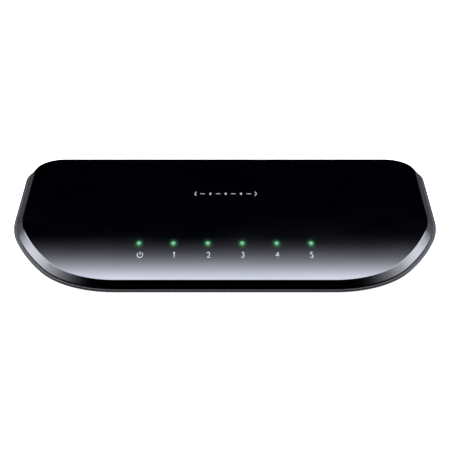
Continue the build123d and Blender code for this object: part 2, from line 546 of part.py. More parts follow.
def thermal_pad():
    """The soft pad between chip and heat sink."""
    low = BOARD_TOP + CHIP_STAND + CHIP_T
    return centred(*CHIP_AT, PAD_SIDE, PAD_SIDE, (low, low + PAD_T))


def transformer(x):
    """A port's isolation magnetics."""
    body = centred(x, COIL_Y, COIL_W, COIL_D, (BOARD_TOP + 0.2, BOARD_TOP + COIL_H))
    return chamfer(body.edges().filter_by(Axis.Z), 0.4)


def transformer_leads():
    """Twelve leads along each long side of every transformer."""
    lead = gull_lead(0.45, 1.3, COIL_H / 2)
    leads = []
    for x in PORT_XS:
        for turn in (0, 180):
            for i in range(COIL_LEADS):
                along = (i - (COIL_LEADS - 1) / 2) * COIL_LEAD_PITCH
                leads.append(Pos(x, COIL_Y, BOARD_TOP) * Rot(0, 0, turn) * Pos(along, COIL_D / 2, 0) * lead)
    return leads


def can_capacitor(x, y, radius, height):
    """An electrolytic can with its rolled groove, on the board."""
    can = rod(x, y, BOARD_TOP, BOARD_TOP + height, radius)
    can = fillet([e for e in can.edges() if e.center().Z > BOARD_TOP + height - 0.01], 0.4)
    ring = rod(x, y, BOARD_TOP + 1.0, BOARD_TOP + 1.7, radius + 1)
    ring -= rod(x, y, BOARD_TOP, BOARD_TOP + 3, radius - 0.3)
    return can - ring


def power_inductor(x, y):
    """A shielded choke."""
    body = centred(x, y, INDUCTOR_SIDE, INDUCTOR_SIDE, (BOARD_TOP, BOARD_TOP + INDUCTOR_H))
    return chamfer(body.edges().filter_by(Axis.Z), INDUCTOR_SIDE / 5)


def small_outline_chip(x, y):
    """An eight-lead chip's body with its leads."""
    body = centred(x, y, 4.9, 3.9, (BOARD_TOP + 0.1, BOARD_TOP + 1.6))
    lead = gull_lead(0.4, 1.0, 0.8)
    for turn in (0, 180):
        for i in range(4):
            body += Pos(x, y, BOARD_TOP) * Rot(0, 0, turn) * Pos((i - 1.5) * 1.27, 1.95, 0) * lead
    return body


def crystal(x, y):
    """A low-profile metal crystal can."""
    can = centred(x, y, 11.4, 4.7, (BOARD_TOP, BOARD_TOP + 3.4))
    return fillet(can.edges().filter_by(Axis.Z), 2.2)


def isolation_capacitor(x, y):
    """A high-voltage disc on two legs."""
    disc = rod_along_y(x, BOARD_TOP + DISC_UP, y - DISC_T / 2, y + DISC_T / 2, DISC_R)
    ends = (BOARD_LOW - TAIL_BELOW, BOARD_TOP + DISC_UP)
    legs = [rod(x + side * DISC_LEG_X, y, *ends, DISC_LEG_R) for side in (-1, 1)]
    return disc + legs


def on_board(place, size):
    """A plain moulded part, placed across and in from the sockets' faces."""
    return centred(place[0], REAR_FACE - place[1], size[0], size[1], (BOARD_TOP, BOARD_TOP + size[2]))


def chip_parts(places, size):
    """Surface-mounted two-terminal parts, each (x, y, turned)."""
    length, width, height = size
    found = []
    for x, y, turned in places:
        across = (width, length) if turned else (length, width)
        found.append(centred(x, y, *across, (BOARD_TOP, BOARD_TOP + height)))
    return found


def resistor_places():
    """One by each lamp, and four in front of each transformer."""
    places = [(u + 3.4, lamp_place(u)[0].Y, True) for u in LAMP_US]
    y = COIL_Y - COIL_D / 2 - COIL_RESISTOR_GAP
    return places + [(x + (i - 1.5) * 3.0, y, True) for x in PORT_XS for i in range(4)]


def ceramic_places():
    """Round the chip, clear of the heat sink, and by each supply."""
    x, y = CHIP_AT
    away = SINK_SIDE / 2 + 2.0
    places = [(x + side * away, y + (i - 1) * 4.5, True) for side in (-1, 1) for i in range(3)]
    places += [(x + (i - 1) * 4.5, y - away, False) for i in range(3)]
    beside = INDUCTOR_SIDE / 2 + 2.0
    back = y + INDUCTOR_BACK
    return places + [(SUPPLY_XS[0] - beside, back, True), (SUPPLY_XS[1] + beside, back, True)]


def every_part():
    """All nodes by name: a shape, or a list of separate solids."""
    parts = {"base_tray": base_tray(), "top_cover": top_cover(), "circuit_board": circuit_board()}
    for name, (x, y) in FEET.items():
        parts["rubber_foot_" + name] = rubber_foot(x, y)
    parts["case_screws"] = [case_screw(x, y) for x, y in CASE_SCREWS]
    parts["board_screws"] = [board_screw(x, y) for x, y in BOARD_SCREWS]
    label_top = FOOT_STANDS + LABEL_RECESS
    parts["rating_label"] = centred(0, LABEL_IN - DEPTH / 2, *LABEL_SIZE, (label_top - LABEL_T, label_top))
    housing, wires, tails = jack_housing(), jack_contacts(), jack_tails()
    for number, x in enumerate(PORT_XS, 1):
        parts[f"port_{number}_socket"] = at_port(x, [housing])
        parts[f"port_{number}_contacts"] = at_port(x, wires)
    parts["port_solder_tails"] = [tail for x in PORT_XS for tail in at_port(x, tails)]
    parts["power_inlet_body"] = at_inlet(inlet_housing())
    parts["power_inlet_pin"] = at_inlet(inlet_pin())
    parts["power_inlet_leaf"] = at_inlet(inlet_leaf())
    parts["power_inlet_terminals"] = [at_inlet(shape) for shape in inlet_terminals()]
    for name, u in zip(LAMP_NAMES, LAMP_US):
        parts["light_pipe_" + name] = light_pipe(u)
        parts["lamp_" + name] = indicator_led(u)
    parts["switch_chip"] = switch_chip()
    parts["switch_chip_leads"] = switch_chip_leads()
    parts["thermal_pad"] = thermal_pad()
    parts["heat_sink"] = heat_sink()
    for number, x in enumerate(PORT_XS, 1):
        parts[f"transformer_{number}"] = transformer(x)
    parts["transformer_leads"] = transformer_leads()
    y = CHIP_AT[1]
    low_can = (y - OUTPUT_CAN_FRONT, OUTPUT_CAN_R, OUTPUT_CAN_H)
    parts["output_capacitors"] = [can_capacitor(x, *low_can) for x in SUPPLY_XS]
    for number, x in enumerate(SUPPLY_XS, 1):
        parts[f"power_inductor_{number}"] = power_inductor(x, y + INDUCTOR_BACK)
    parts["regulator_chips"] = [small_outline_chip(x, y - REGULATOR_FRONT) for x in SUPPLY_XS]
    parts["config_memory"] = small_outline_chip(MEMORY_X, y)
    parts["timing_crystal"] = crystal(CRYSTAL_X, y - CRYSTAL_FRONT)
    x, y = INPUT_CAN_AT
    parts["input_capacitor"] = can_capacitor(x, REAR_FACE - y, INPUT_CAN_R, INPUT_CAN_H)
    parts["isolation_capacitor"] = isolation_capacitor(DISC_AT[0], REAR_FACE - DISC_AT[1])
    parts["input_fuse"] = on_board(FUSE_AT, FUSE_SIZE)
    parts["input_diode"] = on_board(DIODE_AT, DIODE_SIZE)
    parts["chip_resistors"] = chip_parts(resistor_places(), (1.6, 0.8, 0.5))
    parts["ceramic_capacitors"] = chip_parts(ceramic_places(), (2.0, 1.25, 0.9))
    return parts


os.makedirs("parts", exist_ok=True)
for name, shape in every_part().items():
    solids = shape if isinstance(shape, list) else [shape]
    whole = Compound([solid for item in solids for solid in item.solids()])
    export_step(whole, f"parts/{name}.step")
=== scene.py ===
"""Looks of a five-port desktop network switch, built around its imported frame.

Everything is in metres in the frame's own axes: +X to the right, +Y to the rear sockets, +Z up, with the
feet on z = 0. The sizes of the prints and of the glow card are in millimetres, which MM turns into metres.
"""
import logging
import math
from dataclasses import dataclass, field
from enum import Enum
from typing import Callable, Sequence

import bmesh
import bpy
from mathutils import Matrix, Vector


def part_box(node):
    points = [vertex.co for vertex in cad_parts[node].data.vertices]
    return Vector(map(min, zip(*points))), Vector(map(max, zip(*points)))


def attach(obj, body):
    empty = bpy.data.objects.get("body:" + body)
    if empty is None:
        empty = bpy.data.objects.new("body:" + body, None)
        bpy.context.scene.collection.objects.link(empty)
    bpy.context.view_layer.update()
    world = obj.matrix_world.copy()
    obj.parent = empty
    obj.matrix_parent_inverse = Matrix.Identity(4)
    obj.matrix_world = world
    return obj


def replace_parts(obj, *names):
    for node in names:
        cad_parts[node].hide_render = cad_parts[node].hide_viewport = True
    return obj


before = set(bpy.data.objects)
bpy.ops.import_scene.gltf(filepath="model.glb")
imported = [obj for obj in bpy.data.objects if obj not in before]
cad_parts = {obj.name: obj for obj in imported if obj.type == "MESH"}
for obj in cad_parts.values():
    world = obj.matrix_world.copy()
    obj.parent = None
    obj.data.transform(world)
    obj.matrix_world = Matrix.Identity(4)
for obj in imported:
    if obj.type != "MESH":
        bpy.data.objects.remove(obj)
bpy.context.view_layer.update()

MM = 0.001
LOG = logging.getLogger("switch_looks")
Colour = tuple[float, float, float]


@dataclass(frozen=True)
class Slope:
    """The plane of the cover's flat top: u across, v up the slope, w out of it."""

    tilt: float = math.radians(11.984340)
    origin_y: float = -0.227961 * MM
    origin_z: float = 17.190515 * MM

    def matrix(self) -> Matrix:
        """Takes (u, v, w) in metres to the frame's axes."""
        s, c = math.sin(self.tilt), math.cos(self.tilt)
        rows = ((1, 0, 0, 0), (0, c, -s, self.origin_y), (0, s, c, self.origin_z), (0, 0, 0, 1))
        return Matrix(rows)

    def at(self, u: float, v: float, w: float) -> Vector:
        """A point from its millimetres along the slope's axes."""
        return self.matrix() @ Vector((u * MM, v * MM, w * MM))

    def out(self) -> Vector:
        """The way out of the flat top."""
        return self.matrix().to_3x3() @ Vector((0, 0, 1))


SLOPE = Slope()
# Where the camera stands, in millimetres up the slope and out of it.
EYE_V, EYE_W = -507.30, 259.45


class Wiring:
    """A material while it is being wired: a Principled shader and the nodes that feed it."""

    def __init__(self, name: str, **constants: object) -> None:
        """Starts a material.

        Args:
            name: the material's name.
            constants: values for the Principled shader's own sockets, spaces written as underscores.
        """
        self.material = bpy.data.materials.new(name)
        self.material.use_nodes = True
        self.tree = self.material.node_tree
        self.tree.nodes.clear()
        self.output = self.tree.nodes.new("ShaderNodeOutputMaterial")
        self.shader = self.tree.nodes.new("ShaderNodeBsdfPrincipled")
        self.tree.links.new(self.shader.outputs["BSDF"], self.output.inputs["Surface"])
        for socket, value in constants.items():
            self.shader.inputs[socket.replace("_", " ")].default_value = value
        self._place: bpy.types.NodeSocket | None = None

    def link(self, start: bpy.types.NodeSocket, end: bpy.types.NodeSocket) -> None:
        """Joins two sockets."""
        self.tree.links.new(start, end)

    def feed(self, start: bpy.types.NodeSocket, socket: str) -> None:
        """Joins a socket to one of the shader's own, by name."""
        self.link(start, self.shader.inputs[socket])

    def place(self) -> bpy.types.NodeSocket:
        """The piece's own coordinates, in metres."""
        if self._place is None:
            self._place = self.tree.nodes.new("ShaderNodeTexCoord").outputs["Object"]
        return self._place

    def noise(self, size: float, detail: float = 2.0,
              stretch: Sequence[float] = (1, 1, 1)) -> bpy.types.NodeSocket:
        """Cloudy noise.

        Args:
            size: the size of its blotches, in metres.
            detail: how many finer layers it has.
            stretch: how many times finer it is along each axis.

        Returns:
            Its value, about 0 to 1.
        """
        node = self.tree.nodes.new("ShaderNodeTexNoise")
        node.inputs["Scale"].default_value = 1 / size
        node.inputs["Detail"].default_value = detail
        mapping = self.tree.nodes.new("ShaderNodeMapping")
        mapping.inputs["Scale"].default_value = stretch
        self.link(self.place(), mapping.inputs["Vector"])
        self.link(mapping.outputs["Vector"], node.inputs["Vector"])
        return node.outputs["Fac"]

    def cells(self, size: float) -> bpy.types.NodeSocket:
        """Cell noise: the distance to the nearest cell's middle."""
        node = self.tree.nodes.new("ShaderNodeTexVoronoi")
        node.inputs["Scale"].default_value = 1 / size
        self.link(self.place(), node.inputs["Vector"])
        return node.outputs["Distance"]

    def span(self, value: bpy.types.NodeSocket, low: float, high: float, to_low: float,
             to_high: float) -> bpy.types.NodeSocket:
        """Maps a value's range onto another, held at both ends."""
        node = self.tree.nodes.new("ShaderNodeMapRange")
        self.link(value, node.inputs["Value"])
        ends = {"From Min": low, "From Max": high, "To Min": to_low, "To Max": to_high}
        for name, number in ends.items():
            node.inputs[name].default_value = number
        return node.outputs["Result"]

    def ramp(self, value: bpy.types.NodeSocket,
             stops: Sequence[tuple[float, Colour]]) -> bpy.types.NodeSocket:
        """Maps a value to a colour through stops of (place, colour)."""
        node = self.tree.nodes.new("ShaderNodeValToRGB")
        elements = node.color_ramp.elements
        while len(elements) < len(stops):
            elements.new(0.5)
        for element, (place, colour) in zip(elements, stops):
            element.position = place
            element.color = (*colour, 1.0)
        self.link(value, node.inputs["Fac"])
        return node.outputs["Color"]

    def sum(self, kind: str, first: object, second: object, third: object = None) -> bpy.types.NodeSocket:
        """One step of arithmetic on numbers or sockets."""
        node = self.tree.nodes.new("ShaderNodeMath")
        node.operation = kind
        for index, value in enumerate((first, second, third)):
            if isinstance(value, bpy.types.NodeSocket):
                self.link(value, node.inputs[index])
            elif value is not None:
                node.inputs[index].default_value = value
        return node.outputs[0]

    def axes(self) -> tuple[bpy.types.NodeSocket, bpy.types.NodeSocket, bpy.types.NodeSocket]:
        """The piece's coordinates, one by one."""
        node = self.tree.nodes.new("ShaderNodeSeparateXYZ")
        self.link(self.place(), node.inputs[0])
        return node.outputs[0], node.outputs[1], node.outputs[2]

    def bump(self, height: bpy.types.NodeSocket, depth: float, strength: float = 1.0) -> None:
        """Raises the surface by a height of 0 to 1 times a depth in metres."""
        node = self.tree.nodes.new("ShaderNodeBump")
        node.inputs["Strength"].default_value = strength
        node.inputs["Distance"].default_value = depth
        self.link(height, node.inputs["Height"])
        self.feed(node.outputs["Normal"], "Normal")


@dataclass(frozen=True)
class Finish:
    """A finish that a piece can be given."""

    name: str = "finish"

    def wire(self) -> Wiring:
        """Wires the finish's nodes."""
        raise NotImplementedError

    def material(self) -> bpy.types.Material:
        """The finish as a material, made once."""
        return bpy.data.materials.get(self.name) or self.wire().material


@dataclass(frozen=True)
class LampGlow:
    """The green light of the lamp row, by distance from each lamp's middle on the cover. On the light pipes
    it is the lamps' own light; on the cover round them it is a painted glow.

    Attributes:
        pitch: from one lamp to the next.
        count: how many lamps there are.
        row_v: how far up the slope the row lies.
        spread: how many times longer a lamp's light is up the slope than across it.
        stops: the light's colour at distances in millimetres.
        reach: the distance in millimetres at the far end of the ramp.
    """

    pitch: float = 13.0 * MM
    count: int = 6
    row_v: float = -23.53 * MM
    spread: float = 2.085
    stops: tuple[tuple[float, Colour], ...] = (
        (0.0, (0.27, 0.5, 0.33)), (0.25, (0.22, 0.44, 0.28)), (0.55, (0.1, 0.27, 0.14)),
        (0.95, (0.026, 0.11, 0.046)), (1.3, (0.007, 0.045, 0.016)), (1.8, (0.002, 0.014, 0.005)),
        (2.3, (0.0, 0.0, 0.0)))
    reach: float = 2.6

    def distance(self, wiring: Wiring) -> bpy.types.NodeSocket:
        """Wires the distance to the nearest lamp.

        Args:
            wiring: the material that is being wired.

        Returns:
            The distance in millimetres.
        """
        s, c = math.sin(SLOPE.tilt), math.cos(SLOPE.tilt)
        x, y, z = wiring.axes()
        along = wiring.sum("MULTIPLY", wiring.sum("SUBTRACT", y, SLOPE.origin_y), c)
        up = wiring.sum("MULTIPLY_ADD", wiring.sum("SUBTRACT", z, SLOPE.origin_z), s, along)
        v = wiring.sum("DIVIDE", wiring.sum("SUBTRACT", up, self.row_v), self.spread)
        half = self.count * self.pitch / 2
        turns = wiring.sum("ADD", x, half)
        wrapped = wiring.sum("SUBTRACT", wiring.sum("FLOORED_MODULO", turns, self.pitch), self.pitch / 2)
        beyond = wiring.sum("MAXIMUM", wiring.sum("SUBTRACT", wiring.sum("ABSOLUTE", x, 0.0), half), 0.0)
        across = wiring.sum("ADD", wiring.sum("ABSOLUTE", wrapped, 0.0), beyond)
        squared = wiring.sum("MULTIPLY_ADD", v, v, wiring.sum("MULTIPLY", across, across))
        return wiring.sum("MULTIPLY", wiring.sum("SQRT", squared, 0.0), 1 / MM)

    def light(self, wiring: Wiring) -> None:
        """Lights the surface by its distance from the lamps."""
        share = wiring.sum("DIVIDE", self.distance(wiring), self.reach)
        stops = [(place / self.reach, colour) for place, colour in self.stops]
        wiring.feed(wiring.ramp(share, stops), "Emission Color")
        wiring.shader.inputs["Emission Strength"].default_value = 1.0


@dataclass(frozen=True)
class PianoBlack(Finish):
    """Polished black moulding: flow waves, handling smears, and a painted green glow on the cover round its
    lamp holes, standing in for lamp light bleeding into it and the camera's bloom.
    """

    name: str = "piano_black"
    base: Colour = (0.0002, 0.0003, 0.0008)
    smear_size: float = 30 * MM
    smear_stretch: tuple[float, float, float] = (1, 2.5, 1)
    polish: tuple[float, float] = (0.025, 0.05)
    wave_size: float = 12 * MM
    wave_height: float = 0.0008 * MM

    def wire(self) -> Wiring:
        """Wires the finish's nodes."""
        wiring = Wiring(self.name, Base_Color=(*self.base, 1), IOR=1.5)
        smears = wiring.noise(self.smear_size, 3.0, self.smear_stretch)
        wiring.feed(wiring.span(smears, 0.35, 0.75, *self.polish), "Roughness")
        wiring.bump(wiring.noise(self.wave_size, 1.0), self.wave_height)
        # Painted glow: green emission on the cover round each lamp hole, for the lamps' bleed and the
        # camera's bloom.
        LampGlow().light(wiring)
        return wiring


@dataclass(frozen=True)
class SparkedBlack(Finish):
    """Black moulding with a fine spark-eroded texture, polished on the rim just under the cover.

    Attributes:
        base: its colour low in the texture.
        lighter: how many times lighter it is high in the texture.
        rough: its roughness on the walls.
        polished: its roughness on the rim.
        grain: the size of the texture's grains.
        pit_depth: how deep the texture is.
        cell_share: how much of cells is added to the cloudy noise.
        rim_depth: how far under the flat top the rim ends.
        rim_blend: half the width over which the rim turns into the wall.
        rim_relief: how much of the texture is left on the rim.
        rim_wear: how much of the wear is left on the rim.
        wear_size: the size of the worn patches.
        wear: what wear adds to the roughness, least and most.
    """

    name: str = "sparked_black"
    base: Colour = (0.015, 0.0152, 0.017)
    lighter: float = 1.5
    rough: float = 0.46
    polished: float = 0.3
    grain: float = 0.45 * MM
    pit_depth: float = 0.05 * MM
    cell_share: float = 0.6
    rim_depth: float = 4.3 * MM
    rim_blend: float = 0.1 * MM
    rim_relief: float = 0.07
    rim_wear: float = 0.2
    wear_size: float = 20 * MM
    wear: tuple[float, float] = (-0.05, 0.07)

    def wall_share(self, wiring: Wiring) -> bpy.types.NodeSocket:
        """Wires where the walls are.

        Args:
            wiring: the material that is being wired.

        Returns:
            One on the walls, nothing on the rim.
        """
        _, y, z = wiring.axes()
        s, c = math.sin(SLOPE.tilt), math.cos(SLOPE.tilt)
        back = wiring.sum("MULTIPLY", wiring.sum("SUBTRACT", y, SLOPE.origin_y), -s)
        out = wiring.sum("MULTIPLY_ADD", wiring.sum("SUBTRACT", z, SLOPE.origin_z), c, back)
        low, high = -self.rim_depth - self.rim_blend, -self.rim_depth + self.rim_blend
        return wiring.span(out, low, high, 1.0, 0.0)

    def wire(self) -> Wiring:
        """Wires the finish's nodes."""
        wiring = Wiring(self.name, IOR=1.5, Specular_IOR_Level=0.12)
        wall = self.wall_share(wiring)
        cells = wiring.sum("MULTIPLY", wiring.cells(self.grain * 2), self.cell_share)
        pits = wiring.sum("ADD", wiring.noise(self.grain, 3.0), cells)
        relief = wiring.sum("MULTIPLY_ADD", wall, 1 - self.rim_relief, self.rim_relief)
        wiring.bump(wiring.sum("MULTIPLY", pits, relief), self.pit_depth, 0.7)
        worn = wiring.span(wiring.noise(self.wear_size), 0.3, 0.7, *self.wear)
        kept = wiring.sum("MULTIPLY_ADD", wall, 1 - self.rim_wear, self.rim_wear)
        even = wiring.sum("MULTIPLY_ADD", wall, self.rough - self.polished, self.polished)
        wiring.feed(wiring.sum("MULTIPLY_ADD", worn, kept, even), "Roughness")
        tone = tuple(channel * self.lighter for channel in self.base)
        wiring.feed(wiring.ramp(pits, [(0.3, self.base), (0.9, tone)]), "Base Color")
        return wiring


@dataclass(frozen=True)
class SatinMoulding(Finish):
    """Satin technical plastic, for sockets and chip bodies."""

    name: str = "satin_moulding"
    base: Colour = (0.012, 0.012, 0.013)
    rough: float = 0.42
    grain: float = 0.2 * MM
    grain_depth: float = 0.02 * MM
    cloud_size: float = 4 * MM
    lighter: float = 1.6
    duller: tuple[float, float] = (-0.06, 0.08)

    def wire(self) -> Wiring:
        """Wires the finish's nodes."""
        wiring = Wiring(self.name, IOR=1.55)
        cloud = wiring.noise(self.cloud_size)
        light = tuple(min(1.0, channel * self.lighter) for channel in self.base)
        wiring.feed(wiring.ramp(cloud, [(0.3, self.base), (0.75, light)]), "Base Color")
        least, most = (self.rough + change for change in self.duller)
        wiring.feed(wiring.span(cloud, 0.3, 0.7, least, most), "Roughness")
        wiring.bump(wiring.noise(self.grain), self.grain_depth, 0.6)
        return wiring


@dataclass(frozen=True)
class Metal(Finish):
    """A metal, brushed or plated, with tarnish in cloudy patches."""

    name: str = "metal"
    base: Colour = (0.6, 0.6, 0.62)
    tarnish: Colour = (0.45, 0.44, 0.42)
    rough: float = 0.25
    grain: float = 0.3 * MM
    stretch: tuple[float, float, float] = (1.0, 1.0, 1.0)
    tarnish_size: float = 2.5 * MM
    line_depth: float = 0.006 * MM
    line_rough: tuple[float, float] = (0.7, 1.4)

    def wire(self) -> Wiring:
        """Wires the finish's nodes."""
        wiring = Wiring(self.name, Metallic=1.0)
        cloud = wiring.noise(self.tarnish_size, 3.0)
        wiring.feed(wiring.ramp(cloud, [(0.35, self.tarnish), (0.6, self.base)]), "Base Color")
        lines = wiring.noise(self.grain, 2.0, self.stretch)
        least, most = (self.rough * share for share in self.line_rough)
        wiring.feed(wiring.span(lines, 0.3, 0.7, least, most), "Roughness")
        wiring.bump(lines, self.line_depth, 0.5)
        return wiring


@dataclass(frozen=True)
class FootRubber(Finish):
    """Soft dark rubber, dusty where it is handled."""

    name: str = "foot_rubber"
    clean: Colour = (0.02, 0.02, 0.021)
    dusty: Colour = (0.06, 0.06, 0.058)
    dust_size: float = 3 * MM
    grain: float = 0.2 * MM
    grain_depth: float = 0.03 * MM

    def wire(self) -> Wiring:
        """Wires the finish's nodes."""
        wiring = Wiring(self.name, Roughness=0.85, Sheen_Weight=0.25)
        dust = wiring.noise(self.dust_size, 4.0)
        wiring.feed(wiring.ramp(dust, [(0.35, self.clean), (0.8, self.dusty)]), "Base Color")
        wiring.bump(wiring.noise(self.grain), self.grain_depth, 0.8)
        return wiring


@dataclass(frozen=True)
class BoardLaminate(Finish):
    """Green solder mask over copper tracks on glass laminate."""

    name: str = "board_laminate"
    mask: Colour = (0.004, 0.055, 0.018)
    copper: Colour = (0.012, 0.13, 0.04)
    routed_size: float = 9 * MM
    pour_size: float = 16 * MM
    copper_height: float = 0.03 * MM

    def tracks(self, wiring: Wiring) -> bpy.types.NodeSocket:
        """Wires the tracks.

        Args:
            wiring: the material that is being wired.

        Returns:
            One on a track, nothing between them.
        """
        node = wiring.tree.nodes.new("ShaderNodeTexBrick")
        pattern = {"Scale": 420.0, "Mortar Size": 0.012, "Bias": 0.0, "Brick Width": 1.6,
                   "Row Height": 0.35}
        for socket, value in pattern.items():
            node.inputs[socket].default_value = value
        wiring.link(wiring.place(), node.inputs["Vector"])
        return node.outputs["Fac"]

    def wire(self) -> Wiring:
        """Wires the finish's nodes."""
        wiring = Wiring(self.name, Roughness=0.28, Coat_Weight=0.4, Coat_Roughness=0.15)
        routed = wiring.span(wiring.noise(self.routed_size, 1.0), 0.47, 0.5, 0.0, 1.0)
        pours = wiring.span(wiring.noise(self.pour_size, 0.0), 0.58, 0.6, 0.0, 0.8)
        height = wiring.sum("MAXIMUM", wiring.sum("MULTIPLY", self.tracks(wiring), routed), pours)
        wiring.feed(wiring.ramp(height, [(0.1, self.mask), (0.8, self.copper)]), "Base Color")
        wiring.bump(height, self.copper_height, 0.8)
        return wiring


@dataclass(frozen=True)
class PrintInk(Finish):
    """Screen-printed ink, a little uneven."""

    name: str = "print_ink"
    base: Colour = (0.5, 0.5, 0.51)
    thin: Colour = (0.4, 0.4, 0.41)
    rough: float = 0.45
    blotch: float = 0.6 * MM
    ink_depth: float = 0.004 * MM

    def wire(self) -> Wiring:
        """Wires the finish's nodes."""
        wiring = Wiring(self.name, Roughness=self.rough)
        cover = wiring.noise(self.blotch, 3.0)
        wiring.feed(wiring.ramp(cover, [(0.35, self.thin), (0.6, self.base)]), "Base Color")
        wiring.bump(cover, self.ink_depth, 0.5)
        return wiring


@dataclass(frozen=True)
class LabelFilm(Finish):
    """Satin silver label film with a fine brushed grain."""

    name: str = "label_film"
    dark: Colour = (0.5, 0.51, 0.53)
    bright: Colour = (0.66, 0.67, 0.69)
    grain: float = 1.5 * MM
    stretch: tuple[float, float, float] = (0.15, 12, 1)

    def wire(self) -> Wiring:
        """Wires the finish's nodes."""
        wiring = Wiring(self.name, Metallic=0.35)
        brushed = wiring.noise(self.grain, 3.0, self.stretch)
        wiring.feed(wiring.ramp(brushed, [(0.3, self.dark), (0.7, self.bright)]), "Base Color")
        wiring.feed(wiring.span(brushed, 0.3, 0.7, 0.3, 0.45), "Roughness")
        return wiring


@dataclass(frozen=True)
class LitClear(Finish):
    """Clear moulding carrying green lamp light, brightest at the middle of each light pipe's end."""

    name: str = "lit_clear"
    base: Colour = (0.05, 0.2, 0.08)
    row_v: float = -24.13 * MM
    ripple: float = 0.4 * MM
    ripple_depth: float = 0.01 * MM

    def wire(self) -> Wiring:
        """Wires the finish's nodes."""
        wiring = Wiring(self.name, Base_Color=(*self.base, 1), Roughness=0.4, IOR=1.49,
                        Specular_IOR_Level=0.0)
        wiring.bump(wiring.noise(self.ripple, 1.0), self.ripple_depth, 0.4)
        LampGlow(row_v=self.row_v).light(wiring)
        return wiring


@dataclass(frozen=True)
class GlazedCoat(Finish):
    """A dipped or glazed coat, thick and glossy."""

    name: str = "glazed_coat"
    base: Colour = (0.02, 0.08, 0.35)
    rough: float = 0.2
    darker: float = 0.6
    run_size: float = 1.8 * MM
    run_depth: float = 0.08 * MM

    def wire(self) -> Wiring:
        """Wires the finish's nodes."""
        wiring = Wiring(self.name, Roughness=self.rough, Coat_Weight=0.6, Coat_Roughness=0.08)
        runs = wiring.noise(self.run_size)
        shade = tuple(channel * self.darker for channel in self.base)
        wiring.feed(wiring.ramp(runs, [(0.3, shade), (0.7, self.base)]), "Base Color")
        wiring.bump(runs, self.run_depth, 0.4)
        return wiring


PIANO = PianoBlack()
SPARKED = SparkedBlack()
RUBBER = FootRubber()
BOARD = BoardLaminate()
LIT = LitClear()
FILM = LabelFilm()
INK = PrintInk()
INK_FAINT = PrintInk("print_ink_faint", (0.3, 0.3, 0.31), (0.22, 0.22, 0.23), 0.5)
INK_DARK = PrintInk("print_ink_dark", (0.03, 0.03, 0.03), (0.05, 0.05, 0.05), 0.5)
INK_BOARD = PrintInk("print_ink_board", (0.75, 0.76, 0.74), (0.62, 0.64, 0.6), 0.5)
SOCKET = SatinMoulding("socket_moulding", (0.011, 0.011, 0.012), 0.36, 0.25 * MM)
CHIP = SatinMoulding("chip_moulding", (0.016, 0.016, 0.017), 0.55, 0.12 * MM)
COIL = SatinMoulding("coil_moulding", (0.02, 0.02, 0.021), 0.4, 0.2 * MM)
FERRITE = SatinMoulding("ferrite", (0.035, 0.034, 0.034), 0.6, 0.3 * MM)
FUSE = SatinMoulding("fuse_body", (0.42, 0.33, 0.1), 0.4, 0.3 * MM)
DIODE = SatinMoulding("diode_body", (0.02, 0.02, 0.02), 0.45, 0.2 * MM)
RESISTOR = SatinMoulding("resistor_film", (0.012, 0.012, 0.014), 0.35, 0.1 * MM)
CERAMIC = SatinMoulding("capacitor_ceramic", (0.32, 0.21, 0.11), 0.5, 0.1 * MM)
PAD = SatinMoulding("pad_silicone", (0.22, 0.26, 0.36), 0.7, 0.2 * MM)
STEEL = Metal("plated_steel", (0.1, 0.1, 0.105), (0.05, 0.05, 0.05), 0.32, 0.2 * MM)
TIN = Metal("tin_plate", (0.7, 0.71, 0.72), (0.5, 0.5, 0.49), 0.3, 0.2 * MM)
GOLD = Metal("contact_gold", (0.86, 0.6, 0.2), (0.7, 0.45, 0.13), 0.18, 0.2 * MM)
NICKEL = Metal("bright_nickel", (0.66, 0.64, 0.6), (0.5, 0.48, 0.44), 0.14, 0.2 * MM)
FINS = Metal("anodised_fins", (0.52, 0.53, 0.55), (0.4, 0.41, 0.43), 0.38, 0.25 * MM, (1, 0.05, 1))
CAN = Metal("bare_can", (0.72, 0.73, 0.74), (0.62, 0.63, 0.64), 0.22, 0.2 * MM)
SLEEVE = GlazedCoat("can_sleeve", (0.012, 0.016, 0.05), 0.3)
DISC = GlazedCoat("disc_coat", (0.02, 0.09, 0.36), 0.22)


def dress(node: str, finish: Finish) -> None:
    """Gives a CAD node a finish."""
    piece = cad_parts[node]
    for index in range(len(piece.material_slots)):
        piece.material_slots[index].material = finish.material()
    LOG.info("%s is finished in %s", node, finish.name)


def deselect() -> None:
    """Leaves nothing selected, so that an operator acts only on what is picked next."""
    if bpy.context.object is not None and bpy.context.object.mode != "OBJECT":
        bpy.ops.object.mode_set(mode="OBJECT")
    bpy.ops.object.select_all(action="DESELECT")


def pick(*pieces: bpy.types.Object) -> None:
    """Selects these pieces alone, the last one active."""
    deselect()
    for piece in pieces:
        piece.select_set(True)
        bpy.context.view_layer.objects.active = piece


def joined(name: str, pieces: Sequence[bpy.types.Object]) -> bpy.types.Object:
    """Joins pieces into one of this name."""
    pick(*pieces)
    if len(pieces) > 1:
        bpy.ops.object.join()
    piece = bpy.context.view_layer.objects.active
    piece.name = piece.data.name = name
    return piece


def choose(piece: bpy.types.Object, wanted: Callable[[bmesh.types.BMFace], bool]) -> None:
    """Opens a piece in edit mode with only the faces that pass a test selected."""
    pick(piece)
    bpy.ops.object.mode_set(mode="EDIT")
    bpy.ops.mesh.select_mode(type="FACE")
    bpy.ops.mesh.select_all(action="DESELECT")
    mesh = bmesh.from_edit_mesh(piece.data)
    for face in mesh.faces:
        if wanted(face):
            face.select_set(True)
    bmesh.update_edit_mesh(piece.data)


def close_edit() -> None:
    """Leaves edit mode."""
    bpy.ops.object.mode_set(mode="OBJECT")


def apply_all(piece: bpy.types.Object) -> None:
    """Applies every modifier that a piece has."""
    pick(piece)
    for modifier in list(piece.modifiers):
        bpy.ops.object.modifier_apply(modifier=modifier.name)


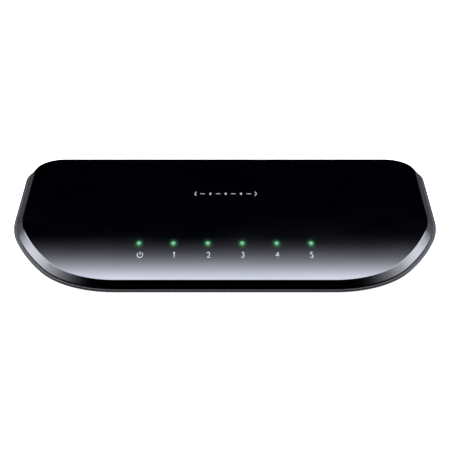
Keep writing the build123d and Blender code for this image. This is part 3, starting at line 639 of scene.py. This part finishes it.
def fitted(piece: bpy.types.Object, body: str, finish: Finish) -> bpy.types.Object:
    """Puts a finished piece on a body, in a finish.

    Args:
        piece: the piece.
        body: the CAD body that it rides on.
        finish: its finish.

    Returns:
        The piece.
    """
    piece.data.materials.clear()
    piece.data.materials.append(finish.material())
    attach(piece, body)
    LOG.info("%s rides on %s in %s, %d faces", piece.name, body, finish.name, len(piece.data.polygons))
    return piece


def remoulded(node: str, name: str, sharp: float = 30.0,
              bead: tuple[float, float] = (0.4, 29.0)) -> bpy.types.Object:
    """A copy of a CAD node's mesh, merged, with shading that runs on smoothly from one face to the next.

    Args:
        node: the CAD node, which the copy stands for.
        name: the copy's name.
        sharp: the angle in degrees above which an edge stays sharp.
        bead: the least and the most that the rounded edge's faces lean from the way out of the flat top,
            in degrees; faces that lean less are the flat top's.

    Returns:
        The copy.
    """
    piece = bpy.data.objects.new(name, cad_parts[node].data.copy())
    piece.data.name = name
    piece.data.transform(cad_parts[node].matrix_world)
    bpy.context.scene.collection.objects.link(piece)
    choose(piece, lambda face: True)
    bpy.ops.mesh.customdata_custom_splitnormals_clear()
    bpy.ops.mesh.remove_doubles(threshold=0.001 * MM)
    close_edit()
    bpy.ops.object.shade_smooth_by_angle(angle=math.radians(sharp))
    for strength, least, most in (("WEAK", bead[0], bead[1]), ("STRONG", -1.0, bead[0])):
        choose(piece, lambda face: least < math.degrees(face.normal.angle(SLOPE.out(), 0)) <= most)
        bpy.ops.mesh.mod_weighted_strength(set=True, face_strength=strength)
        close_edit()
    weighted = piece.modifiers.new("evened", "WEIGHTED_NORMAL")
    weighted.weight, weighted.keep_sharp, weighted.use_face_influence = 50, True, True
    apply_all(piece)
    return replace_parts(piece, node)


def glyph(sign: str, height: float) -> bpy.types.Object:
    """A printed figure, centred on the origin, flat on z = 0 with a hair of thickness.

    Args:
        sign: the figure.
        height: its height in metres.

    Returns:
        The figure as a mesh.
    """
    deselect()
    bpy.ops.object.text_add()
    piece = bpy.context.object
    piece.data.body = sign
    piece.data.resolution_u = 6
    bpy.ops.object.convert(target="MESH")
    xs = [vertex.co.x for vertex in piece.data.vertices]
    ys = [vertex.co.y for vertex in piece.data.vertices]
    scale = height / (max(ys) - min(ys))
    middle = Vector(((max(xs) + min(xs)) / 2, (max(ys) + min(ys)) / 2, 0))
    piece.data.transform(Matrix.Scale(scale, 4) @ Matrix.Translation(-middle))
    thickened(piece)
    if sign == "1":
        stroke, length, lift = height * 0.13, height * 0.3, height * 0.36
        flag = bar(stroke, length, 0.2)
        lean = Matrix.Rotation(math.radians(-58), 4, "Z")
        flag.data.transform(Matrix.Translation((-stroke, lift, 0)) @ lean)
        piece = joined("figure", [piece, flag])
    return piece


def thickened(piece: bpy.types.Object, depth: float = 0.02 * MM) -> bpy.types.Object:
    """Gives a flat print its hair of thickness."""
    modifier = piece.modifiers.new("ink", "SOLIDIFY")
    modifier.thickness = depth
    modifier.offset = 1.0
    apply_all(piece)
    return piece


def bar(width: float, length: float, round_share: float = 0.45) -> bpy.types.Object:
    """A printed bar with rounded ends, centred on the origin, along y."""
    deselect()
    bpy.ops.mesh.primitive_plane_add(size=1)
    piece = bpy.context.object
    piece.data.transform(Matrix.Diagonal((width, length, 1, 1)))
    choose(piece, lambda face: True)
    bpy.ops.mesh.bevel(affect="VERTICES", offset=width * round_share, segments=4)
    close_edit()
    return thickened(piece)


def dot(radius: float, sides: int = 20) -> bpy.types.Object:
    """A printed round dot, a little domed."""
    deselect()
    bpy.ops.mesh.primitive_circle_add(vertices=sides, radius=radius, fill_type="NGON")
    piece = bpy.context.object
    choose(piece, lambda face: True)
    bpy.ops.mesh.inset(thickness=radius * 0.2, depth=0.004 * MM)
    close_edit()
    return thickened(piece)


def power_sign(size: float) -> bpy.types.Object:
    """The usual standby sign: an open ring with a bar in its gap, centred on the origin.

    Args:
        size: the ring's outer diameter in metres.

    Returns:
        The sign as a mesh.
    """
    deselect()
    stroke, gap = size * 0.13, math.radians(80)
    bpy.ops.mesh.primitive_plane_add(size=1)
    ring = bpy.context.object
    ring.data.transform(Matrix.Diagonal((stroke, 0.001 * MM, 1, 1)))
    ring.data.transform(Matrix.Translation(((size - stroke) / 2, 0, 0)))
    ring.data.transform(Matrix.Rotation(math.radians(90) - gap / 2, 4, "Z"))
    choose(ring, lambda face: True)
    bpy.ops.mesh.spin(steps=40, angle=2 * math.pi - gap, center=(0, 0, 0), axis=(0, 0, 1))
    bpy.ops.mesh.select_all(action="SELECT")
    bpy.ops.mesh.remove_doubles(threshold=0.002 * MM)
    bpy.ops.mesh.normals_make_consistent(inside=False)
    close_edit()
    if sum(face.normal.z for face in ring.data.polygons) < 0:
        ring.data.flip_normals()
    thickened(ring)
    stem = bar(stroke, size * 0.5, 0.2)
    stem.data.transform(Matrix.Translation((0, size * 0.25, 0)))
    return joined("power_sign", [ring, stem])


class Placing(Enum):
    """The surfaces that carry print."""

    COVER = "cover"
    REAR = "rear"
    UNDERSIDE = "underside"
    BOARD = "board"


def print_matrix(placing: Placing, x: float, y: float, stretch: float = 1.0) -> Matrix:
    """Where a print drawn flat on the origin goes.

    Args:
        placing: the surface.
        x: millimetres across it, in the frame's x.
        y: millimetres up it: v on the cover, z on the rear, y on the others.
        stretch: how much longer it is made up the surface.

    Returns:
        The matrix that puts it there.
    """
    long = Matrix.Diagonal((1, stretch, 1, 1))
    if placing is Placing.COVER:
        return SLOPE.matrix() @ Matrix.Translation((x * MM, y * MM, 0)) @ long
    if placing is Placing.REAR:
        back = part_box("port_1_socket")[1][1]
        turn = Matrix(((-1, 0, 0, 0), (0, 0, 1, 0), (0, 1, 0, 0), (0, 0, 0, 1)))
        return Matrix.Translation((x * MM, back, y * MM)) @ turn @ long
    if placing is Placing.UNDERSIDE:
        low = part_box("rating_label")[0][2]
        return Matrix.Translation((x * MM, y * MM, low)) @ Matrix.Rotation(math.pi, 4, "X") @ long
    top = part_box("circuit_board")[1][2]
    return Matrix.Translation((x * MM, y * MM, top)) @ long


@dataclass
class CoverPrint:
    """What is printed on the cover: a sign under each lamp, and a plain link sign in the rear half.

    Attributes:
        sign_count: the standby sign and the socket numbers.
        sign_pitch: from one of them to the next.
        sign_shift: how far right of the middle their row is.
        label_v: how far up the slope their row is.
        figure_height: a number's height before it is stretched.
        sign_size: the standby sign's size before it is stretched.
        label_stretch: how many times longer they are made up the slope.
        link_shift: how far right of the middle the link sign is.
        link_v: how far up the slope it is.
        link_half_width: from its middle to a chevron's point.
        link_height: the height of its chevrons before they are stretched.
        link_stretch: how many times longer it is made up the slope.
        arm_share: a chevron's arm, as a share of the link sign's height.
        arm_weight: how wide an arm is.
        point_inset: how far in from its point a chevron's arms are centred.
        mark_count: how many dashes and dots lie between the chevrons.
        mark_pitch: from one of those to the next.
        dot_radius: a dot's radius.
        dash: a dash's width and length.
    """

    sign_count: int = 6
    sign_pitch: float = 12.8
    sign_shift: float = 0.3
    label_v: float = -32.45
    figure_height: float = 2.2
    sign_size: float = 2.32
    label_stretch: float = 2.085
    link_shift: float = 0.27
    link_v: float = 18.95
    link_half_width: float = 12.7
    link_height: float = 1.6
    link_stretch: float = 2.26
    arm_share: float = 0.72
    arm_weight: float = 0.34
    point_inset: float = 0.55
    mark_count: int = 7
    mark_pitch: float = 3.1
    dot_radius: float = 0.46
    dash: tuple[float, float] = (0.26, 1.9)

    def lamp_signs(self) -> None:
        """Prints the standby sign and the five socket numbers."""
        marks = []
        for index in range(self.sign_count):
            u = (index - (self.sign_count - 1) / 2) * self.sign_pitch + self.sign_shift
            if index == 0:
                mark = power_sign(self.sign_size * MM)
            else:
                mark = glyph(str(index), self.figure_height * MM)
            mark.data.transform(print_matrix(Placing.COVER, u, self.label_v, self.label_stretch))
            marks.append(mark)
        fitted(joined("lamp_signs", marks), "chassis", INK)

    def chevrons(self) -> list[bpy.types.Object]:
        """The link sign's two chevrons, each of two arms."""
        marks = []
        arm = self.link_height * self.arm_share
        for side in (-1, 1):
            for lean in (-1, 1):
                piece = bar(self.arm_weight * MM, arm * MM, 0.3)
                turn = Matrix.Rotation(side * lean * math.radians(45), 4, "Z")
                middle = (side * (self.link_half_width - self.point_inset) * MM, lean * arm * 0.34 * MM, 0)
                piece.data.transform(Matrix.Translation(middle) @ turn)
                marks.append(piece)
        return marks

    def marks_between(self) -> list[bpy.types.Object]:
        """The link sign's dashes and dots, by turns."""
        marks = []
        for index in range(self.mark_count):
            if index % 2:
                piece = dot(self.dot_radius * MM)
            else:
                piece = bar(self.dash[0] * MM, self.dash[1] * MM, 0.3)
                piece.data.transform(Matrix.Rotation(math.pi / 2, 4, "Z"))
            x = (index - (self.mark_count - 1) / 2) * self.mark_pitch * MM
            piece.data.transform(Matrix.Translation((x, 0, 0)))
            marks.append(piece)
        return marks

    def link_sign(self) -> None:
        """Prints two chevrons with dots and dashes between them."""
        sign = joined("link_sign", self.chevrons() + self.marks_between())
        sign.data.transform(print_matrix(Placing.COVER, self.link_shift, self.link_v, self.link_stretch))
        fitted(sign, "chassis", INK_FAINT)

    def make(self) -> None:
        """Makes the print."""
        self.lamp_signs()
        self.link_sign()


@dataclass
class RearPrint:
    """Numbers over the sockets and a standby sign over the power inlet."""

    up: float = 22.4
    height: float = 2.3
    sign_drop: float = 1.2

    def make(self) -> None:
        """Makes the print."""
        marks = []
        for number in range(1, 6):
            low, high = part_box(f"port_{number}_socket")
            mark = glyph(str(number), self.height * MM)
            mark.data.transform(print_matrix(Placing.REAR, (low[0] + high[0]) / 2 / MM, self.up))
            marks.append(mark)
        low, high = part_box("power_inlet_body")
        mark = power_sign(self.height * MM)
        middle = (low[0] + high[0]) / 2 / MM
        mark.data.transform(print_matrix(Placing.REAR, middle, self.up - self.sign_drop))
        marks.append(mark)
        fitted(joined("socket_numbers", marks), "chassis", INK)


@dataclass
class LabelPrint:
    """Plain ruled lines on the underside's label, with no wording."""

    width: float = 56.0
    height: float = 18.0
    rows: int = 4
    rule: float = 0.18
    divider: float = -8.0

    def make(self) -> None:
        """Makes the print."""
        low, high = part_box("rating_label")
        y = (low[1] + high[1]) / 2 / MM
        marks = []
        for index in range(self.rows + 1):
            piece = bar(self.rule * MM, self.width * MM, 0.0)
            piece.data.transform(Matrix.Rotation(math.pi / 2, 4, "Z"))
            at = y + (index / self.rows - 0.5) * self.height
            piece.data.transform(print_matrix(Placing.UNDERSIDE, 0, at))
            marks.append(piece)
        for x in (-self.width / 2, self.divider, self.width / 2):
            piece = bar(self.rule * MM, self.height * MM, 0.0)
            piece.data.transform(print_matrix(Placing.UNDERSIDE, x, y))
            marks.append(piece)
        fitted(joined("label_rules", marks), "chassis", INK_DARK)


@dataclass
class Case:
    """The cover, the tray and what is fixed to them."""

    def make(self) -> None:
        """Dresses the case's CAD nodes and prints on them."""
        fitted(remoulded("top_cover", "cover_shell"), "chassis", PIANO)
        dress("base_tray", SPARKED)
        for place in ("front_left", "front_right", "rear_left", "rear_right"):
            dress(f"rubber_foot_{place}", RUBBER)
        dress("case_screws", STEEL)
        dress("rating_label", FILM)
        CoverPrint().make()
        RearPrint().make()
        LabelPrint().make()


@dataclass
class Lamps:
    """The lamps and their light pipes."""

    names: tuple[str, ...] = ("power", "1", "2", "3", "4", "5")

    def make(self) -> None:
        """Dresses each lamp and its light pipe."""
        for name in self.names:
            dress(f"light_pipe_{name}", LIT)
            dress(f"lamp_{name}", LIT)


@dataclass
class Sockets:
    """The network sockets and the power inlet."""

    count: int = 5

    def make(self) -> None:
        """Dresses the sockets, their contacts and the inlet."""
        for number in range(1, self.count + 1):
            dress(f"port_{number}_socket", SOCKET)
            dress(f"port_{number}_contacts", GOLD)
        dress("port_solder_tails", TIN)
        dress("power_inlet_body", SOCKET)
        dress("power_inlet_pin", NICKEL)
        dress("power_inlet_leaf", NICKEL)
        dress("power_inlet_terminals", TIN)


@dataclass
class BoardPrint:
    """Outlines printed on the board round its larger parts, each with a dot at its first corner."""

    parts: tuple[str, ...] = (
        "transformer_1", "transformer_2", "transformer_3", "transformer_4", "transformer_5",
        "switch_chip_leads", "power_inductor_1", "power_inductor_2", "config_memory", "timing_crystal",
        "input_fuse", "input_diode")
    margin: float = 0.5
    weight: float = 0.16
    dot_radius: float = 0.35

    def framed(self, part: str) -> list[bpy.types.Object]:
        """The outline and dot of one part.

        Args:
            part: the part's CAD node.

        Returns:
            The marks.
        """
        low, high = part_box(part)
        x, y = ((low[axis] + high[axis]) / 2 / MM for axis in (0, 1))
        half_w, half_d = ((high[axis] - low[axis]) / 2 / MM + self.margin for axis in (0, 1))
        marks = []
        for side in (-1, 1):
            upright = bar(self.weight * MM, (2 * half_d + self.weight) * MM, 0.0)
            upright.data.transform(print_matrix(Placing.BOARD, x + side * half_w, y))
            level = bar(self.weight * MM, (2 * half_w + self.weight) * MM, 0.0)
            level.data.transform(Matrix.Rotation(math.pi / 2, 4, "Z"))
            level.data.transform(print_matrix(Placing.BOARD, x, y + side * half_d))
            marks += [upright, level]
        first = dot(self.dot_radius * MM)
        first.data.transform(print_matrix(Placing.BOARD, x - half_w - 2 * self.dot_radius, y + half_d))
        return marks + [first]

    def make(self) -> None:
        """Makes the print."""
        marks = [mark for part in self.parts for mark in self.framed(part)]
        fitted(joined("board_outlines", marks), "chassis", INK_BOARD)


@dataclass
class Board:
    """The circuit board and everything soldered to it."""

    finishes: dict[str, Finish] = field(default_factory=lambda: {
        "circuit_board": BOARD, "board_screws": STEEL, "switch_chip": CHIP, "switch_chip_leads": TIN,
        "thermal_pad": PAD, "heat_sink": FINS, "transformer_leads": TIN, "input_capacitor": SLEEVE,
        "output_capacitors": CAN, "power_inductor_1": FERRITE, "power_inductor_2": FERRITE,
        "regulator_chips": CHIP, "config_memory": CHIP, "timing_crystal": NICKEL,
        "isolation_capacitor": DISC, "input_fuse": FUSE, "input_diode": DIODE,
        "chip_resistors": RESISTOR, "ceramic_capacitors": CERAMIC})
    transformer_count: int = 5

    def make(self) -> None:
        """Dresses the board and prints on it."""
        for node, finish in self.finishes.items():
            dress(node, finish)
        for number in range(1, self.transformer_count + 1):
            dress(f"transformer_{number}", COIL)
        BoardPrint().make()


def bounced(v: float) -> tuple[float, float]:
    """The way that the eye's ray leaves the flat top at v, as (v, w) parts of one."""
    run, rise = v - EYE_V, EYE_W
    size = math.hypot(run, rise)
    return run / size, rise / size


@dataclass
class GlowCard:
    """A softbox behind and above, whose soft lower edge is mirrored in the front of the cover.

    Attributes:
        aim_v: how far up the slope the ray bounces that meets the card's own origin.
        distance: from there to the card.
        half_width: half the card's width.
        above: how far it runs above its origin.
        below: how far it runs below its origin.
        tint: its colour at its brightest.
        stops: how bright it is where a ray that bounces at v lands, as (v, light).
    """

    aim_v: float = -35.0
    distance: float = 900.0
    half_width: float = 700.0
    above: float = 420.0
    below: float = 60.0
    tint: Colour = (0.83, 0.86, 1.0)
    stops: tuple[tuple[float, float], ...] = (
        (-17.5, 0.0), (-19.3, 0.02), (-21.0, 0.04), (-22.8, 0.09), (-24.8, 0.17), (-26.8, 0.29),
        (-28.8, 0.42), (-30.8, 0.66), (-32.7, 0.97), (-34.7, 1.4), (-36.6, 1.83), (-38.5, 2.55),
        (-40.4, 3.24), (-42.3, 4.25), (-44.2, 5.28), (-46.1, 6.4), (-48.0, 7.75), (-49.6, 8.5),
        (-51.0, 8.9))

    def offset(self, v: float) -> float:
        """How far up the card, in millimetres, the ray that bounces off the cover at v lands."""
        aim = bounced(self.aim_v)
        centre = (self.aim_v + self.distance * aim[0], self.distance * aim[1])
        ray = bounced(v)
        reach = ((centre[0] - v) * aim[0] + centre[1] * aim[1]) / (ray[0] * aim[0] + ray[1] * aim[1])
        hit = (v + reach * ray[0] - centre[0], reach * ray[1] - centre[1])
        return -hit[0] * aim[1] + hit[1] * aim[0]

    def make(self) -> None:
        """Makes the card and its graded light."""
        aim = bounced(self.aim_v)
        deselect()
        bpy.ops.mesh.primitive_plane_add(size=1)
        card = bpy.context.object
        card.name = "glow_card"
        width, height = 2 * self.half_width * MM, (self.above + self.below) * MM
        card.data.transform(Matrix.Diagonal((width, height, 1, 1)))
        card.data.transform(Matrix.Translation((0, (self.above - self.below) / 2 * MM, 0)))
        turn = Matrix(((1, 0, 0, 0), (0, -aim[1], -aim[0], 0), (0, aim[0], -aim[1], 0), (0, 0, 0, 1)))
        centre = (0, (self.aim_v + self.distance * aim[0]) * MM, self.distance * aim[1] * MM)
        card.matrix_world = SLOPE.matrix() @ Matrix.Translation(centre) @ turn
        wiring = Wiring("glow_card_light", Base_Color=(0, 0, 0, 1), Specular_IOR_Level=0.0)
        _, up, _ = wiring.axes()
        low, high = self.offset(self.stops[0][0]), self.offset(self.stops[-1][0])
        share = wiring.span(up, low * MM, high * MM, 0, 1)
        peak = self.stops[-1][1]
        stops = []
        for v, light in self.stops:
            colour = tuple(channel * light / peak for channel in self.tint)
            stops.append(((self.offset(v) - low) / (high - low), colour))
        wiring.feed(wiring.ramp(share, stops), "Emission Color")
        wiring.shader.inputs["Emission Strength"].default_value = peak
        card.data.materials.append(wiring.material)
        card.visible_camera = False


@dataclass(frozen=True)
class Glow:
    """A soft round glow on the studio's walls, the same on both sides."""

    azimuth: float
    elevation: float
    strength: float
    tightness: float = 70.0

    def added(self, tree: bpy.types.NodeTree, way: bpy.types.NodeSocket,
              total: bpy.types.NodeSocket) -> bpy.types.NodeSocket:
        """Adds the glow to the light so far.

        Args:
            tree: the world's nodes.
            way: the direction, turned to the right-hand side.
            total: the light so far.

        Returns:
            The light with the glow.
        """
        turn, rise = math.radians(self.azimuth), math.radians(self.elevation)
        middle = (math.sin(turn) * math.cos(rise), -math.cos(turn) * math.cos(rise), math.sin(rise))
        near = tree.nodes.new("ShaderNodeVectorMath")
        near.operation = "DOT_PRODUCT"
        near.inputs[1].default_value = middle
        tree.links.new(way, near.inputs[0])
        steps = (("MAXIMUM", 0.0), ("POWER", self.tightness), ("MULTIPLY", self.strength))
        value = near.outputs["Value"]
        for kind, number in steps:
            node = tree.nodes.new("ShaderNodeMath")
            node.operation = kind
            node.inputs[1].default_value = number
            tree.links.new(value, node.inputs[0])
            value = node.outputs[0]
        node = tree.nodes.new("ShaderNodeMath")
        tree.links.new(value, node.inputs[0])
        tree.links.new(total, node.inputs[1])
        return node.outputs[0]


@dataclass
class Studio:
    """A pale floor, plain soft light and the camera.

    Attributes:
        lens: the camera's focal length in millimetres.
        pitch_down: how far it looks down on the flat top, in degrees.
        horizon: how bright the walls are low down.
        sensor: the width of the camera's sensor in millimetres.
        gap: how far under the feet the floor lies.
        floor_size: the floor's side.
        band: the heights between which the walls fade out, as parts of a direction of one.
        glows: the soft lights on the walls.
    """

    lens: float = 116.2
    pitch_down: float = 27.475
    horizon: float = 0.16
    sensor: float = 36.0
    gap: float = 0.03 * MM
    floor_size: float = 9.0
    band: tuple[float, float] = (0.15, 0.22)
    glows: tuple[Glow, ...] = (
        Glow(142, 18, 0.55), Glow(124, 33.5, 9.2), Glow(110, 46, 4.7), Glow(95, 55, 1.7))

    def floor(self) -> None:
        """A wide pale sheet under the feet."""
        deselect()
        bpy.ops.mesh.primitive_plane_add(size=self.floor_size)
        floor = bpy.context.object
        floor.data.transform(Matrix.Translation((0, 0, -self.gap)))
        floor.name = "floor"
        wiring = Wiring("pale_floor", Base_Color=(0.86, 0.86, 0.86, 1), Roughness=0.9,
                        Specular_IOR_Level=0.1)
        wiring.shader.inputs["Emission Color"].default_value = (1, 1, 1, 1)
        wiring.shader.inputs["Emission Strength"].default_value = 1.0
        floor.data.materials.append(wiring.material)

    def world(self) -> None:
        """White to the eye; to everything else a faint band at the horizon and a soft glow at each side."""
        world = bpy.data.worlds.new("studio")
        bpy.context.scene.world = world
        world.use_nodes = True
        tree = world.node_tree
        tree.nodes.clear()
        out = tree.nodes.new("ShaderNodeOutputWorld")
        mix = tree.nodes.new("ShaderNodeMixShader")
        seen, felt = tree.nodes.new("ShaderNodeBackground"), tree.nodes.new("ShaderNodeBackground")
        seen.inputs["Color"].default_value = (1, 1, 1, 1)
        felt.inputs["Color"].default_value = (0.88, 0.9, 1.0, 1)
        path = tree.nodes.new("ShaderNodeLightPath")
        coords = tree.nodes.new("ShaderNodeTexCoord")
        split = tree.nodes.new("ShaderNodeSeparateXYZ")
        tree.links.new(coords.outputs["Generated"], split.inputs[0])
        band = tree.nodes.new("ShaderNodeMapRange")
        tree.links.new(split.outputs[2], band.inputs["Value"])
        ends = {"From Min": self.band[0], "From Max": self.band[1], "To Min": self.horizon,
                "To Max": 0.0}
        for name, number in ends.items():
            band.inputs[name].default_value = number
        total = band.outputs["Result"]
        mirrored = tree.nodes.new("ShaderNodeCombineXYZ")
        side = tree.nodes.new("ShaderNodeMath")
        side.operation = "ABSOLUTE"
        tree.links.new(split.outputs[0], side.inputs[0])
        for index, socket in enumerate((side.outputs[0], split.outputs[1], split.outputs[2])):
            tree.links.new(socket, mirrored.inputs[index])
        for glow in self.glows:
            total = glow.added(tree, mirrored.outputs[0], total)
        tree.links.new(total, felt.inputs["Strength"])
        tree.links.new(path.outputs["Is Camera Ray"], mix.inputs["Fac"])
        tree.links.new(felt.outputs[0], mix.inputs[1])
        tree.links.new(seen.outputs[0], mix.inputs[2])
        tree.links.new(mix.outputs[0], out.inputs["Surface"])

    def camera(self) -> None:
        """The camera, in front and a little above."""
        data = bpy.data.cameras.new("camera")
        data.lens, data.sensor_width = self.lens, self.sensor
        camera = bpy.data.objects.new("camera", data)
        bpy.context.scene.collection.objects.link(camera)
        camera.location = SLOPE.at(0, EYE_V, EYE_W)
        down = math.radians(self.pitch_down) - SLOPE.tilt
        camera.rotation_euler = (math.pi / 2 - down, 0, 0)
        data.clip_start, data.clip_end = 0.01, 20.0
        bpy.context.scene.camera = camera

    def make(self) -> None:
        """Makes the studio."""
        self.floor()
        self.world()
        self.camera()
        GlowCard().make()
        scene = bpy.context.scene
        scene.view_settings.view_transform = "Standard"
        scene.view_settings.look = "None"


def main() -> None:
    """Builds every sub-assembly in order."""
    logging.basicConfig(level=logging.INFO, format="%(name)s %(message)s")
    Case().make()
    Lamps().make()
    Sockets().make()
    Board().make()
    Studio().make()
    LOG.info("sizes written")


if __name__ == "__main__":
    main()
